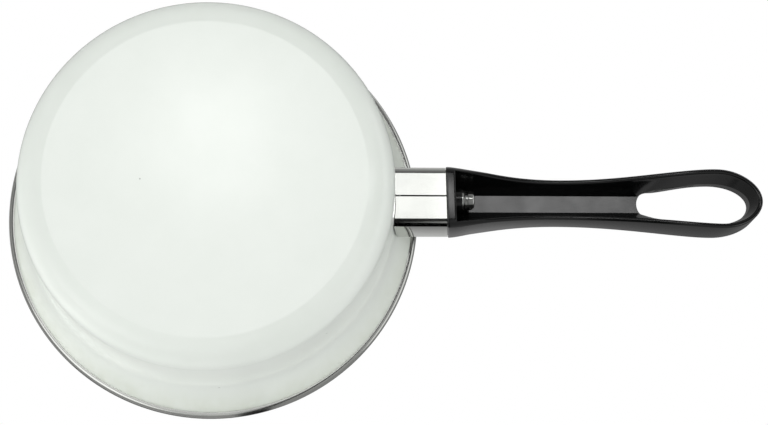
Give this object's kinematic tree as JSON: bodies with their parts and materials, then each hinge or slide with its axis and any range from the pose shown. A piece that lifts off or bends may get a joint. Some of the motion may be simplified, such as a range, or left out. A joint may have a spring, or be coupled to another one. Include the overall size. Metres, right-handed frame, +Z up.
{
  "type": "saucepan",
  "caption": "White enamelled saucepan with a flared wall and a rolled steel rim, and a black moulded handle with a hanging loop, bolted on through a folded steel ferrule.",
  "frame": {"origin": "centre of the flat underside of the base", "axes": "+X from the pan's axis towards the handle's tip, +Z up through the open mouth"},
  "size_m": [0.3388, 0.184, 0.076],
  "materials": {
    "enamel": "glossy white vitreous enamel on steel sheet",
    "polished_steel": "polished stainless steel",
    "plated_steel": "bright zinc plated steel",
    "phenolic": "black moulded phenolic, polished by the mould"
  },
  "bodies": {
    "root": {"pan_body": "enamel", "rim_band": "polished_steel", "ferrule": "polished_steel", "handle_bracket": "plated_steel", "bracket_nut": "plated_steel", "flat_washer": "plated_steel", "spring_washer": "plated_steel", "handle_bolt": "plated_steel", "handle_grip": "phenolic"}
  },
  "joints": []
}
